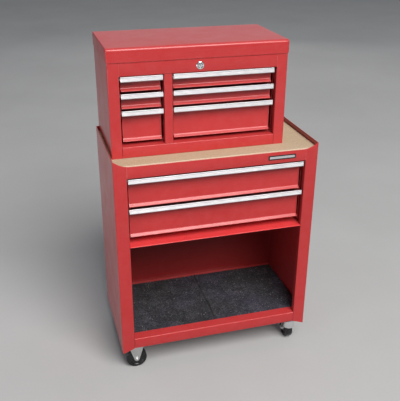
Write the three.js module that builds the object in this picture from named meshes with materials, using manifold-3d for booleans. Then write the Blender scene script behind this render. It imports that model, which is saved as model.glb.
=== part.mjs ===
// Rolling tool chest: a lift-off six-drawer chest standing in the tray of a two-drawer roller cabinet.
// Millimetres, +Z up, fronts face -Y, origin on the floor under the middle of the bounding box.
import * as THREE from 'three';
import { mergeVertices } from 'three/addons/utils/BufferGeometryUtils.js';
import Module from 'manifold-3d';

const wasm = await Module();
wasm.setup();

// ---------------------------------------------------------------- driving sizes
const SHEET = 1.2; // folded steel sheet
const HEM = 2.6; // sheet folded double along an open edge
const GAP = 0.3; // clearance between pieces that touch

// Cabinet: y is measured back from its front face.
const CAB = {
  width: 673,
  depth: 358,
  foot: 84,
  footSlant: 16,
  channel: 96,
  lip: 793,
  stile: 42.5,
  openTop: 735,
  railTop: 774,
  scoopRun: 58,
  dividerTop: 498,
  floorTop: 138,
  apronBottom: 100,
  boardTop: 776.7,
  boardThick: 5,
};
const CAB_DRAWERS = [
  { name: 'cabinet_drawer_upper', top: 731, bottom: 631 },
  { name: 'cabinet_drawer_lower', top: 629.5, bottom: 525.5 },
];
const CAB_DRAWER_END = 330; // back of the drawer pans
const CAB_PULL_GAP = [2.7, 5.5]; // pull to stile, left and right

// Chest: x is measured from its left side, y back from its front face.
const CHEST = {
  width: 566,
  depth: 282,
  base: 777,
  rim: 1100,
  stile: 35,
  midLeft: 170,
  midRight: 196,
  railTop: 812,
  ledge: 52,
  openTop: 1032,
  tillFloor: 1036,
};
const CHEST_AT = [-327.5, -111]; // left side and front face in the shared frame
const CHEST_ROWS = [
  { name: 'top', top: 1030, bottom: 982 },
  { name: 'middle', top: 978.5, bottom: 928.5 },
  { name: 'deep', top: 926, bottom: 824 },
];
const CHEST_DRAWER_END = 262;
const CHEST_PULL_GAP = { left: [3.5, 3.5], right: [3.5, 7.5] }; // pull to stile on both sides, by column
const CHEST_PAN_GAP = 3.5; // slide web to the reach of the drawer body

const RECESS = 25; // drawer fronts stand back from the frame
const FACE_INSET = 3; // drawer fronts are narrower than their pulls at each end
const LIP_FORWARD = 8; // the bottom lip stands forward of the drawer front
const SIDE_DROP = 9; // running flanges below the top of the drawer front
const PULL_FACE = 15.5; // height of the front face of a pull
const PULL_VALLEY = 8; // drop from a pull's top edge to its web
const PULL_WALL = 1.5; // thickness of a pull's walls
const RETURN = 17; // depth of the folded stile returns

const LID = { over: 1.8, skirt: 1074, top: 1115, round: 9, backSkirt: 1102.5 };
const HINGE = { y: 285.6, z: 1101, barrel: 3, bore: 1.6, pin: 1.3, x0: 34, x1: 532, knuckles: 7 };
const LOCK = { x: 282, z: 1052 };

const WHEEL = { radius: 36.5, half: 12, hub: 13, bore: 4.3 };
const CASTER = { plateTop: 95.7, plate: 2.3, leg: 2.3, trail: 22, hoodFoot: 57, hoodTop: 89.3 };
const RIGID_AT = [-286, [-142, 142]]; // x, then y of the front and rear pair
const SWIVEL_AT = [295, [-145, 137]];
const SWIVEL_TURN = [0, 70]; // resting swivel angles, degrees

// ---------------------------------------------------------------- solids
function signedVolume(position, index) {
  const a = new THREE.Vector3();
  const b = new THREE.Vector3();
  const c = new THREE.Vector3();
  let total = 0;
  for (let i = 0; i < index.length; i += 3) {
    a.fromBufferAttribute(position, index[i]);
    b.fromBufferAttribute(position, index[i + 1]);
    c.fromBufferAttribute(position, index[i + 2]);
    total += a.dot(b.cross(c));
  }
  return total;
}

function solid(geometry) {
  const bare = new THREE.BufferGeometry();
  bare.setAttribute('position', geometry.getAttribute('position').clone());
  if (geometry.index) bare.setIndex(geometry.index);
  const merged = mergeVertices(bare, 1e-4);
  const source = merged.index.array;
  const kept = [];
  for (let i = 0; i < source.length; i += 3) {
    const [a, b, c] = [source[i], source[i + 1], source[i + 2]];
    if (a !== b && b !== c && c !== a) kept.push(a, b, c);
  }
  if (signedVolume(merged.getAttribute('position'), kept) < 0) {
    for (let i = 0; i < kept.length; i += 3) [kept[i], kept[i + 1]] = [kept[i + 1], kept[i]];
  }
  return new wasm.Manifold(new wasm.Mesh({
    numProp: 3,
    vertProperties: new Float32Array(merged.getAttribute('position').array),
    triVerts: new Uint32Array(kept),
  }));
}

function box([x0, x1], [y0, y1], [z0, z1]) {
  const geometry = new THREE.BoxGeometry(x1 - x0, y1 - y0, z1 - z0);
  geometry.translate((x0 + x1) / 2, (y0 + y1) / 2, (z0 + z1) / 2);
  return solid(geometry);
}

function join(...solids) {
  return solids.flat().reduce((sum, next) => sum.add(next));
}

function extrude(points, length, columns) {
  const shape = new THREE.Shape(points.map(([a, b]) => new THREE.Vector2(a, b)));
  const geometry = new THREE.ExtrudeGeometry(shape, { depth: length, bevelEnabled: false });
  const basis = new THREE.Matrix4().makeBasis(...columns.map((column) => new THREE.Vector3(...column)));
  geometry.applyMatrix4(basis);
  return solid(geometry);
}

// Profile given as [y, z], run along x.
function alongX(points, x0, x1) {
  return extrude(points, x1 - x0, [[0, 1, 0], [0, 0, 1], [1, 0, 0]]).translate([x0, 0, 0]);
}

// Profile given as [x, z], run along y.
function alongY(points, y0, y1) {
  return extrude(points, y1 - y0, [[1, 0, 0], [0, 0, 1], [0, -1, 0]]).translate([0, y1, 0]);
}

// Profile given as [x, y], run along z.
function alongZ(points, z0, z1) {
  return extrude(points, z1 - z0, [[1, 0, 0], [0, 1, 0], [0, 0, 1]]).translate([0, 0, z0]);
}

// Profile given as [radius, height], turned about z.
function turned(profile, segments) {
  const geometry = new THREE.LatheGeometry(profile.map(([r, h]) => new THREE.Vector2(r, h)), segments);
  geometry.rotateX(Math.PI / 2);
  return solid(geometry);
}

function rod(radius, z0, z1, segments = 24) {
  return turned([[0, z0], [radius, z0], [radius, z1], [0, z1]], segments);
}

function arc([ca, cb], radius, from, to, steps) {
  const points = [];
  for (let i = 0; i <= steps; i += 1) {
    const angle = THREE.MathUtils.degToRad(from + ((to - from) * i) / steps);
    points.push([ca + radius * Math.cos(angle), cb + radius * Math.sin(angle)]);
  }
  return points;
}

// A sheet folded along an open line of points; its thickness lies to the left of the line.
function folded(line, thickness) {
  const normals = line.slice(1).map(([a, b], i) => {
    const [da, db] = [a - line[i][0], b - line[i][1]];
    const length = Math.hypot(da, db);
    return [-db / length, da / length];
  });
  const inner = line.map(([a, b], i) => {
    const before = normals[Math.max(i - 1, 0)];
    const after = normals[Math.min(i, normals.length - 1)];
    const sum = [before[0] + after[0], before[1] + after[1]];
    const scale = (2 * thickness) / (sum[0] ** 2 + sum[1] ** 2);
    return [a + sum[0] * scale, b + sum[1] * scale];
  });
  return [...line, ...inner.reverse()];
}

// ---------------------------------------------------------------- shared sheet-metal forms
// Side panels, back and front stiles folded from one sheet; x runs 0..width.
function wrap({ width, depth, z0, z1, stile, returnTop }) {
  const half = [
    [stile, 0],
    [stile, RETURN],
    [stile - SHEET, RETURN],
    [stile - SHEET, SHEET],
    [SHEET, SHEET],
    [SHEET, depth - SHEET],
  ];
  const mirrored = half.map(([x, y]) => [width - x, y]).reverse();
  const plan = [[0, 0], ...half, ...mirrored, [width, 0], [width, depth], [0, depth]];
  const body = alongZ(plan, z0, z1);
  const aboveReturns = [stile - HEM, width - stile - HEM]
    .map((x) => box([x, x + 2 * HEM], [SHEET, RETURN + 1], [returnTop, z1 + 1]));
  const hems = [SHEET / 2, width - HEM]
    .map((x) => box([x, x + HEM - SHEET / 2], [SHEET / 2, depth - SHEET / 2], [z1 - 9, z1 - 0.2]));
  return join(body.subtract(join(aboveReturns)), hems);
}

// Drawer body: a front sheet that flares forward to a bottom lip, and a pan with running flanges behind it.
function drawerPan({ x0, x1, pull, top, bottom, end, inset, flange }) {
  const lipFront = RECESS - LIP_FORWARD;
  const face = [
    [RECESS, top - PULL_VALLEY - PULL_WALL],
    ...arc([RECESS - 10, bottom + 14], 10, 0, -45, 4),
    ...arc([lipFront + 1.5, bottom + 1.8], 1.5, 135, 180, 2),
    [lipFront, bottom],
  ];
  const front = alongX(folded(face, SHEET), pull[0] + FACE_INSET, pull[1] - FACE_INSET);
  const floor = bottom + 3;
  const sideTop = top - SIDE_DROP;
  const [left, right] = [x0 + inset, x1 - inset];
  const tray = box([left, right], [RECESS + SHEET / 2, end], [floor, sideTop]);
  const hollow = box([left + SHEET, right - SHEET], [RECESS + 2 * SHEET, end - SHEET], [floor + SHEET, top]);
  const flangeSpan = [RECESS + 12, end - 2];
  const flangeRise = [sideTop - SHEET - 0.2, sideTop - 0.2];
  return join(
    front,
    tray.subtract(hollow),
    box([left - flange, left + SHEET / 2], flangeSpan, flangeRise),
    box([right - SHEET / 2, right + flange], flangeSpan, flangeRise),
  );
}

// Extruded pull on a drawer front: a leg on the front, a web, and a wall that stands above and below the web.
function drawerPull({ pull, top }) {
  const wall = PULL_WALL;
  const foot = top - PULL_FACE;
  const web = top - PULL_VALLEY;
  const leg = RECESS - GAP;
  const section = [
    [leg, top - 15],
    [leg, web],
    [3.2, web],
    [3.2, top - 0.4],
    ...arc([2.3, top - 1.1], 1.1, 90, 190, 3),
    [0.4, foot + 2.1],
    ...arc([2.3, foot + 1.9], 1.9, 180, 270, 3),
    [6.2, foot],
    [6.2, foot + wall],
    [2.6, foot + wall],
    [2.3, foot + wall + 1],
    [2.6, web - wall],
    [leg - wall, web - wall],
    [leg - wall, top - 15],
  ];
  return alongX(section, pull[0], pull[1]);
}

// Channels that carry the running flanges; side is +1 when they open towards +x.
function channels(webX, reach, side, rows, y) {
  return rows.map(({ top }) => {
    const flangeTop = top - SIDE_DROP;
    const x = side > 0 ? [webX, webX + reach] : [webX - reach, webX];
    const lower = box(x, y, [flangeTop - 2 * SHEET - 0.6, flangeTop - SHEET - 0.6]);
    const upper = box(x, y, [flangeTop + 0.6, flangeTop + SHEET + 0.6]);
    return [lower, upper];
  }).flat();
}

// ---------------------------------------------------------------- cabinet
const CAB_INNER = CAB.stile + GAP; // clear of the stile returns, from the cabinet's left side

function inCabinet(part) {
  return part.translate([-CAB.width / 2, -CAB.depth / 2, 0]);
}

// The space above the top edge of the front, which dips between the two corners.
function scoop() {
  const rise = CAB.lip - CAB.railTop;
  const start = HEM + 1;
  const curve = [[start, CAB.lip + 20]];
  for (let i = 0; i <= 8; i += 1) {
    const reach = start + ((CAB.scoopRun - start) * i) / 8;
    curve.push([reach, CAB.railTop + (rise - 1) * (1 - i / 8) ** 2.2]);
  }
  const mirrored = curve.map(([x, z]) => [CAB.width - x, z]).reverse();
  const outline = [...curve, ...mirrored];
  return alongY(outline, -1, SHEET + GAP);
}

function cabinetShell() {
  const shell = wrap({
    width: CAB.width,
    depth: CAB.depth,
    z0: CAB.foot,
    z1: CAB.lip,
    stile: CAB.stile,
    returnTop: CAB.openTop - GAP,
  });
  const outer = CAB.stile + 1;
  const slant = [[0, CAB.foot], [outer, CAB.foot + CAB.footSlant], [outer, 0], [0, 0]];
  const leftFoot = alongY(slant, -1, RETURN + 1);
  const rightFoot = leftFoot.mirror([1, 0, 0]).translate([CAB.width, 0, 0]);
  return inCabinet(shell.subtract(scoop()).subtract(join(leftFoot, rightFoot)));
}

function cabinetTopRail() {
  const x = [CAB_INNER, CAB.width - CAB_INNER];
  const face = box(x, [0, SHEET], [CAB.openTop, CAB.lip]).subtract(scoop());
  const flange = box(x, [0, 15], [CAB.openTop, CAB.openTop + SHEET]);
  return inCabinet(join(face, flange));
}

function cabinetTopPan() {
  const top = CAB.boardTop - CAB.boardThick - GAP;
  const plate = box([3, CAB.width - 3], [2, CAB.depth - 1.6], [top - SHEET, top]);
  const stiffeners = [120, 240].map((y) => box([8, CAB.width - 8], [y, y + SHEET], [top - 18, top]));
  return inCabinet(join(plate, stiffeners));
}

function cabinetBoard() {
  const z = [CAB.boardTop - CAB.boardThick, CAB.boardTop];
  return inCabinet(box([3, CAB.width - 3], [1.6, CAB.depth - 1.6], z));
}

function cabinetDivider() {
  const z = [CAB.dividerTop - SHEET, CAB.dividerTop];
  const front = box([CAB_INNER, CAB.width - CAB_INNER], [0, RETURN + 4], z);
  const hem = box([CAB_INNER, CAB.width - CAB_INNER], [0, SHEET], [CAB.dividerTop - 3, CAB.dividerTop]);
  const shelf = box([1.6, CAB.width - 1.6], [RETURN + GAP, CAB.depth - 1.6], z);
  return inCabinet(join(front, hem, shelf));
}

function cabinetFloor() {
  const z = [CAB.floorTop - SHEET, CAB.floorTop];
  const x = [CAB_INNER, CAB.width - CAB_INNER];
  const apron = box(x, [0, SHEET], [CAB.apronBottom, CAB.floorTop]);
  const ledge = box(x, [0, RETURN + 4], z);
  const underLip = box(x, [0, 12], [CAB.apronBottom, CAB.apronBottom + SHEET]);
  const floor = box([1.6, CAB.width - 1.6], [RETURN + GAP, CAB.depth - 1.6], z);
  return inCabinet(join(apron, ledge, underLip, floor));
}

function mat(side) {
  const middle = CAB.width / 2 + 6;
  const x = side < 0 ? [4, middle - 0.8] : [middle + 0.8, CAB.width - 4];
  const z = [CAB.floorTop + GAP, CAB.floorTop + GAP + 3];
  return inCabinet(box(x, [36, 338], z));
}

function baseChannel(side) {
  const web = 78;
  const y = [14, CAB.depth - 1.6];
  const plate = box([1.6, web], y, [CAB.channel, CAB.channel + 1.6]);
  const upright = box([web - 1.6, web], y, [CAB.channel, CAB.floorTop - SHEET - GAP]);
  const left = join(plate, upright).subtract(box([0, CAB.stile + 1], [0, RETURN + 1], [0, 200]));
  const placed = inCabinet(left);
  return side < 0 ? placed : placed.mirror([1, 0, 0]);
}

function cabinetSlide(side) {
  const web = CAB.stile + 2;
  const y = [RECESS + 3, CAB.depth - 8];
  const z = [512, 733];
  const left = join(
    box([web - SHEET, web], y, z),
    box([1.6, web], [y[0], y[0] + SHEET], z),
    box([1.6, web], [y[1] - SHEET, y[1]], z),
    channels(web, 10, 1, CAB_DRAWERS, y),
  );
  const placed = inCabinet(left);
  return side < 0 ? placed : placed.mirror([1, 0, 0]);
}

function namePlate() {
  return inCabinet(box([500, 594], [-1.5, -GAP], [748.5, 763.5]));
}

function cabinetDrawer({ top, bottom }) {
  const x0 = CAB.stile + CAB_PULL_GAP[0];
  const x1 = CAB.width - CAB.stile - CAB_PULL_GAP[1];
  const size = { x0, x1, pull: [x0, x1], top, bottom, end: CAB_DRAWER_END, inset: 10, flange: 7 };
  return [inCabinet(drawerPan(size)), inCabinet(drawerPull(size))];
}

// ---------------------------------------------------------------- casters
function wheel() {
  const { radius, half, hub, bore } = WHEEL;
  const side = [[9, hub], [11, 9], [25, 9], [27, half], [radius - 3, half], [radius, half - 3.5]];
  const lower = side.map(([r, h]) => [r, -h]);
  return turned([[bore, -hub], ...lower, ...[...side].reverse(), [bore, hub], [bore, -hub]], 28);
}

function axle() {
  const half = 19;
  return join(
    rod(4, -half, half, 16),
    rod(7, -half - 3.5, -half + 2.2, 6),
    rod(6.5, half - 2.2, half + 2, 6),
  );
}

// Wheel and axle stand on the floor with the axle along y (rigid) or x (swivel).
function alongAxis(part, axis) {
  return axis === 'y' ? part.rotate([90, 0, 0]) : part.rotate([0, 90, 0]);
}

function rigidFork() {
  const top = CASTER.plateTop;
  const plate = box([-31, 31], [-16.5, 16.5], [top - CASTER.plate, top]);
  const outline = [[-28, top], ...arc([0, WHEEL.radius], 9, 200, 340, 8), [28, top]];
  const legs = [-16.5, 16.5 - CASTER.leg].map((y) => alongY(outline, y, y + CASTER.leg));
  const hole = rod(WHEEL.bore, -40, 40, 16).rotate([90, 0, 0]).translate([0, 0, WHEEL.radius]);
  return join(plate, legs).subtract(hole);
}

function swivelPlate() {
  const top = CASTER.plateTop;
  return join(
    box([-30, 30], [-30, 30], [top - CASTER.plate, top]),
    turned([[0, top - 6], [21, top - 6], [24, top - 3.7], [24, top - 1], [0, top - 1]], 24),
    rod(5, top - 13.2, top - 1, 16),
  );
}

// The fork trails towards +y.
function swivelFork() {
  const { hoodTop: top, hoodFoot: foot } = CASTER;
  const under = top - 2.9;
  const inside = [[0, under], [17, under], [20.4, under - 3.4], [20.4, foot]];
  const outside = [[22, foot], [22, top - 4.3], [18, top], [0, top]];
  const hood = turned([...inside, ...outside], 22);
  const legTop = top - 0.8;
  const legLine = [[-12, legTop], [-13, 62], ...arc([CASTER.trail, WHEEL.radius], 9.5, 215, 395, 9), [16, legTop]];
  const legs = [-16.8, 16.8 - CASTER.leg].map((x) => alongX(legLine, x, x + CASTER.leg));
  const window = box([-14.4, 14.4], [-9, 40], [20, under]);
  const hole = rod(WHEEL.bore, -40, 40, 16).rotate([0, 90, 0]).translate([0, CASTER.trail, WHEEL.radius]);
  const kingpin = rod(5.3, foot, top + 1, 16);
  return join(hood, legs).subtract(window).subtract(hole).subtract(kingpin);
}

function rigidCaster(end) {
  const at = [RIGID_AT[0], RIGID_AT[1][end], 0];
  const onAxle = [at[0], at[1], WHEEL.radius];
  return {
    fork: rigidFork().translate(at),
    wheel: alongAxis(wheel(), 'y').translate(onAxle),
    axle: alongAxis(axle(), 'y').translate(onAxle),
  };
}

function swivelCaster(end) {
  const at = [SWIVEL_AT[0], SWIVEL_AT[1][end], 0];
  const turn = [0, 0, SWIVEL_TURN[end]];
  const offset = [0, CASTER.trail, WHEEL.radius];
  return {
    plate: swivelPlate().translate(at),
    fork: swivelFork().rotate(turn).translate(at),
    wheel: alongAxis(wheel(), 'x').translate(offset).rotate(turn).translate(at),
    axle: alongAxis(axle(), 'x').translate(offset).rotate(turn).translate(at),
  };
}

// ---------------------------------------------------------------- chest
function inChest(part) {
  return part.translate([CHEST_AT[0], CHEST_AT[1], 0]);
}

function chestShell() {
  const { width, depth, base, rim, stile } = CHEST;
  return inChest(wrap({ width, depth, z0: base, z1: rim, stile, returnTop: CHEST.openTop - GAP }));
}

const CHEST_INNER = [CHEST.stile + GAP, CHEST.width - CHEST.stile - GAP];

function chestTopRail() {
  const rail = join(
    box(CHEST_INNER, [0, SHEET], [CHEST.openTop, CHEST.rim]),
    box(CHEST_INNER, [0, HEM], [CHEST.rim - 9, CHEST.rim]),
    box(CHEST_INNER, [0, 14], [CHEST.openTop, CHEST.openTop + SHEET]),
  );
  const keyhole = rod(10.3, -5, 5, 24).rotate([90, 0, 0]).translate([LOCK.x, 0, LOCK.z]);
  return inChest(rail.subtract(keyhole));
}

function chestBottomRail() {
  return inChest(join(
    box(CHEST_INNER, [0, SHEET], [CHEST.base, CHEST.railTop]),
    box(CHEST_INNER, [0, CHEST.ledge], [CHEST.railTop - SHEET, CHEST.railTop]),
    box(CHEST_INNER, [0, 14], [CHEST.base, CHEST.base + SHEET]),
  ));
}

function chestCentreStile() {
  const x = [CHEST.midLeft, CHEST.midRight];
  const z = [CHEST.railTop + GAP, CHEST.openTop - GAP];
  return inChest(join(
    box(x, [0, SHEET], z),
    box([x[0], x[0] + SHEET], [0, RETURN], z),
    box([x[1] - SHEET, x[1]], [0, RETURN], z),
  ));
}

// Two webs joined across the back, with channels for the drawers on both sides.
function chestDivider() {
  const y = [RECESS + 3, CHEST.depth - 10];
  const z = [CHEST.railTop + 1, CHEST.tillFloor - 3];
  const [left, right] = [CHEST.midLeft, CHEST.midRight];
  return inChest(join(
    box([left, left + SHEET], y, z),
    box([right - SHEET, right], y, z),
    box([left, right], [y[1] - SHEET, y[1]], z),
    channels(left, 7, -1, CHEST_ROWS, y),
    channels(right, 7, 1, CHEST_ROWS, y),
  ));
}

function chestBottomPan() {
  const z = [CHEST.base + 1.5, CHEST.base + 1.5 + SHEET];
  return inChest(join(
    box([1.6, CHEST.width - 1.6], [RETURN + GAP, CHEST.depth - 1.6], z),
    box([120, 123], [RETURN + GAP, CHEST.depth - 1.6], [z[0], z[0] + 6]),
    box([360, 363], [RETURN + GAP, CHEST.depth - 1.6], [z[0], z[0] + 6]),
  ));
}

function chestTillFloor() {
  const z = [CHEST.tillFloor - SHEET, CHEST.tillFloor];
  return inChest(join(
    box([1.6, CHEST.width - 1.6], [RETURN, CHEST.depth - 1.6], z),
    box([CHEST.stile + 2, CHEST.width - CHEST.stile - 2], [1.6, RETURN + 2], z),
  ));
}

function chestSlide(side) {
  const web = CHEST.stile + SHEET;
  const y = [RECESS + 3, CHEST.depth - 8];
  const z = [CHEST.railTop + 1, CHEST.tillFloor - 3];
  const left = join(
    box([web - SHEET, web], y, z),
    box([1.6, web], [y[0], y[0] + SHEET], z),
    box([1.6, web], [y[1] - SHEET, y[1]], z),
    channels(web, 7, 1, CHEST_ROWS, y),
  );
  const placed = side < 0 ? left : left.mirror([1, 0, 0]).translate([CHEST.width, 0, 0]);
  return inChest(placed);
}

function chestDrawer(column, { top, bottom }) {
  const opening = column === 'left'
    ? [CHEST.stile, CHEST.midLeft]
    : [CHEST.midRight, CHEST.width - CHEST.stile];
  const gap = CHEST_PULL_GAP[column];
  const size = {
    x0: opening[0] + CHEST_PAN_GAP,
    x1: opening[1] - CHEST_PAN_GAP,
    pull: [opening[0] + gap[0], opening[1] - gap[1]],
    top,
    bottom,
    end: CHEST_DRAWER_END,
    inset: 6,
    flange: 5,
  };
  return [inChest(drawerPan(size)), inChest(drawerPull(size))];
}

// ---------------------------------------------------------------- lid, hinge and lock
function lidProfile(y0, y1, top, round, z0) {
  return [
    [y0, z0],
    [y1, z0],
    ...arc([y1 - 3, top - 3], 3, 0, 90, 3),
    ...arc([y0 + round, top - round], round, 90, 180, 6),
  ];
}

function lid() {
  const [x0, x1] = [-LID.over, CHEST.width + LID.over];
  const [y0, y1] = [-LID.over, CHEST.depth];
  const outer = alongX(lidProfile(y0, y1, LID.top, LID.round, LID.skirt), x0, x1);
  const hollow = lidProfile(y0 + SHEET, y1 - SHEET, LID.top - SHEET, LID.round - SHEET, LID.skirt - 5);
  const inner = alongX(hollow, x0 + SHEET, x1 - SHEET);
  const backCut = box([x0 + SHEET, x1 - SHEET], [y1 - 5, y1 + 5], [LID.skirt - 5, LID.backSkirt]);
  return inChest(outer.subtract(inner).subtract(backCut));
}

// One leaf of the piano hinge; parity picks which knuckles it carries.
function hingeLeaf(parity, leafZ, bridgeZ) {
  const { x0, x1, knuckles, barrel, bore, y, z } = HINGE;
  const pitch = (x1 - x0) / knuckles;
  const face = [CHEST.depth + GAP, CHEST.depth + GAP + 1];
  const parts = [box([x0, x1], face, leafZ)];
  for (let i = parity; i < knuckles; i += 2) {
    const span = [x0 + pitch * i + 0.3, x0 + pitch * (i + 1) - 0.3];
    parts.push(rod(barrel, 0, span[1] - span[0], 12).rotate([0, 90, 0]).translate([span[0], y, z]));
    parts.push(box(span, [face[0], y], bridgeZ));
  }
  const pinHole = rod(bore, -5, x1 - x0 + 5, 12).rotate([0, 90, 0]).translate([x0, y, z]);
  const clear = [];
  for (let i = 1 - parity; i < knuckles; i += 2) {
    const span = [x0 + pitch * i - 0.1, x0 + pitch * (i + 1) + 0.1];
    clear.push(rod(barrel + 0.35, 0, span[1] - span[0], 12).rotate([0, 90, 0]).translate([span[0], y, z]));
  }
  return inChest(join(parts).subtract(pinHole).subtract(join(clear)));
}

function hingePin() {
  const { x0, x1, pin, y, z } = HINGE;
  return inChest(rod(pin, -1, x1 - x0 + 1, 12).rotate([0, 90, 0]).translate([x0, y, z]));
}

// Lock pieces are turned about z with the key face at the low end, then laid along y.
function inLock(part) {
  return inChest(part.rotate([-90, 0, 0]).translate([LOCK.x, 0, LOCK.z]));
}

function lockHousing() {
  const profile = [[7.3, -2.2], [9.6, -2.8], [12, -1.8], [12.6, -GAP], [10, -GAP], [10, 9.5], [7.3, 9.5], [7.3, -2.2]];
  return inLock(turned(profile, 24));
}

function lockPlug() {
  const plug = turned([[0, -2.6], [6.4, -2.6], [7, -2], [7, 9.7], [4, 9.7], [4, 13], [0, 13]], 20);
  const keyway = box([-0.9, 0.9], [-4.2, 4.2], [-6, 5]);
  return inLock(plug.subtract(keyway));
}

function lockCam() {
  const { x, z } = LOCK;
  const bar = box([x - 5, x + 5], [10.2, 12.2], [z - 6, z + 20]);
  const hole = rod(4.15, -20, 20, 24).rotate([90, 0, 0]).translate([x, 0, z]);
  return inChest(bar.subtract(hole));
}

function lidCatch() {
  const x = [LOCK.x + 12, LOCK.x + 26];
  const top = LID.top - SHEET - GAP;
  return inChest(join(
    box(x, [13, 14.2], [LOCK.z - 9, top]),
    box(x, [9.3, 14.2], [LOCK.z - 9, LOCK.z - 7.8]),
    box([x[0] - 6, x[1] + 6], [13, 28], [top - SHEET, top]),
  ));
}

// ---------------------------------------------------------------- materials and assembly
const FINISH = {
  red_paint: { color: 0xb8332f, metalness: 0.1, roughness: 0.35 },
  dark_paint: { color: 0x7d1f1d, metalness: 0.1, roughness: 0.5 },
  aluminium: { color: 0xd9dcdf, metalness: 0.9, roughness: 0.35 },
  zinc: { color: 0xb9bdc0, metalness: 0.8, roughness: 0.4 },
  chrome: { color: 0xe4e6e8, metalness: 1, roughness: 0.12 },
  steel: { color: 0x8f9296, metalness: 0.8, roughness: 0.45 },
  board: { color: 0xc6ad86, metalness: 0, roughness: 0.85 },
  mat: { color: 0x3b3b3e, metalness: 0, roughness: 0.95 },
  black_plastic: { color: 0x17181a, metalness: 0, roughness: 0.55 },
};

function node(name, part, finish) {
  const mesh = part.getMesh();
  const geometry = new THREE.BufferGeometry();
  geometry.setAttribute('position', new THREE.BufferAttribute(new Float32Array(mesh.vertProperties), 3));
  geometry.setIndex(new THREE.BufferAttribute(new Uint32Array(mesh.triVerts), 1));
  geometry.computeVertexNormals();
  const material = new THREE.MeshStandardMaterial({ ...FINISH[finish], name: finish });
  const result = new THREE.Mesh(geometry, material);
  result.name = name;
  return result;
}

function cabinetNodes() {
  const drawers = CAB_DRAWERS.flatMap((row) => {
    const [pan, pull] = cabinetDrawer(row);
    return [node(row.name, pan, 'red_paint'), node(`${row.name}_pull`, pull, 'aluminium')];
  });
  return [
    node('cabinet_shell', cabinetShell(), 'red_paint'),
    node('cabinet_top_rail', cabinetTopRail(), 'red_paint'),
    node('cabinet_top_pan', cabinetTopPan(), 'dark_paint'),
    node('cabinet_top_board', cabinetBoard(), 'board'),
    node('cabinet_divider_pan', cabinetDivider(), 'red_paint'),
    node('cabinet_floor_pan', cabinetFloor(), 'red_paint'),
    node('cabinet_mat_left', mat(-1), 'mat'),
    node('cabinet_mat_right', mat(1), 'mat'),
    node('base_channel_left', baseChannel(-1), 'dark_paint'),
    node('base_channel_right', baseChannel(1), 'dark_paint'),
    node('cabinet_slide_left', cabinetSlide(-1), 'steel'),
    node('cabinet_slide_right', cabinetSlide(1), 'steel'),
    node('name_plate', namePlate(), 'black_plastic'),
    ...drawers,
  ];
}

function casterNodes() {
  return ['front', 'rear'].flatMap((end, i) => {
    const rigid = rigidCaster(i);
    const swivel = swivelCaster(i);
    return [
      node(`rigid_fork_${end}_left`, rigid.fork, 'zinc'),
      node(`wheel_${end}_left`, rigid.wheel, 'black_plastic'),
      node(`axle_${end}_left`, rigid.axle, 'zinc'),
      node(`swivel_plate_${end}_right`, swivel.plate, 'zinc'),
      node(`swivel_fork_${end}_right`, swivel.fork, 'chrome'),
      node(`wheel_${end}_right`, swivel.wheel, 'black_plastic'),
      node(`axle_${end}_right`, swivel.axle, 'zinc'),
    ];
  });
}

function chestNodes() {
  const drawers = ['left', 'right'].flatMap((column) => CHEST_ROWS.flatMap((row) => {
    const [pan, pull] = chestDrawer(column, row);
    const name = `chest_drawer_${column}_${row.name}`;
    return [node(name, pan, 'red_paint'), node(`${name}_pull`, pull, 'aluminium')];
  }));
  return [
    node('chest_shell', chestShell(), 'red_paint'),
    node('chest_top_rail', chestTopRail(), 'red_paint'),
    node('chest_bottom_rail', chestBottomRail(), 'red_paint'),
    node('chest_centre_stile', chestCentreStile(), 'red_paint'),
    node('chest_divider', chestDivider(), 'steel'),
    node('chest_bottom_pan', chestBottomPan(), 'dark_paint'),
    node('chest_till_floor', chestTillFloor(), 'dark_paint'),
    node('chest_slide_left', chestSlide(-1), 'steel'),
    node('chest_slide_right', chestSlide(1), 'steel'),
    ...drawers,
  ];
}

function lidNodes() {
  return [
    node('lid', lid(), 'red_paint'),
    node('hinge_leaf_body', hingeLeaf(0, [1080, 1099], [1098, 1099.4]), 'zinc'),
    node('hinge_leaf_lid', hingeLeaf(1, [1103, 1112], [1102.6, 1104]), 'zinc'),
    node('hinge_pin', hingePin(), 'steel'),
    node('lock_housing', lockHousing(), 'chrome'),
    node('lock_plug', lockPlug(), 'chrome'),
    node('lock_cam', lockCam(), 'zinc'),
    node('lid_catch', lidCatch(), 'zinc'),
  ];
}

const root = new THREE.Group();
root.name = 'rolling_tool_chest';
root.add(...cabinetNodes(), ...casterNodes(), ...chestNodes(), ...lidNodes());

export default root;
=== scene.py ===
"""Looks for the rolling tool chest: a lift-off six-drawer chest standing in the tray of a roller cabinet.

Local sizes are millimetres. In a case, x runs from its left side, y runs back from its front face and z runs
up from the floor.
"""

import math

import bmesh
import bpy
from mathutils import Matrix, Vector, noise


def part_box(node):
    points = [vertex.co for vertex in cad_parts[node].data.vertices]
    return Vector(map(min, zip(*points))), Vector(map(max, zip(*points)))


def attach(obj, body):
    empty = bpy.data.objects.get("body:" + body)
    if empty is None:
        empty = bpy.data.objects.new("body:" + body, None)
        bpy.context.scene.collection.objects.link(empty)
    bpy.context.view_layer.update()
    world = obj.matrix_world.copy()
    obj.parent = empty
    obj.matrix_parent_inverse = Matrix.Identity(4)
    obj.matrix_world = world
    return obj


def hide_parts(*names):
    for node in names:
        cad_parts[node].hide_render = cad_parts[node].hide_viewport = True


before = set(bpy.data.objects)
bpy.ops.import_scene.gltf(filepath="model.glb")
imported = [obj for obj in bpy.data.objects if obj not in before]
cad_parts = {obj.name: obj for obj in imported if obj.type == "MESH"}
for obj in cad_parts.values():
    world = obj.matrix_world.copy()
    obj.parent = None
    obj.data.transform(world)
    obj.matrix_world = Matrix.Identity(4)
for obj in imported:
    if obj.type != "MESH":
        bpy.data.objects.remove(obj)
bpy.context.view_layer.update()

# ---- sizes
MM = 0.001
TINY = 1e-6
SHEET = 1.2
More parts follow.
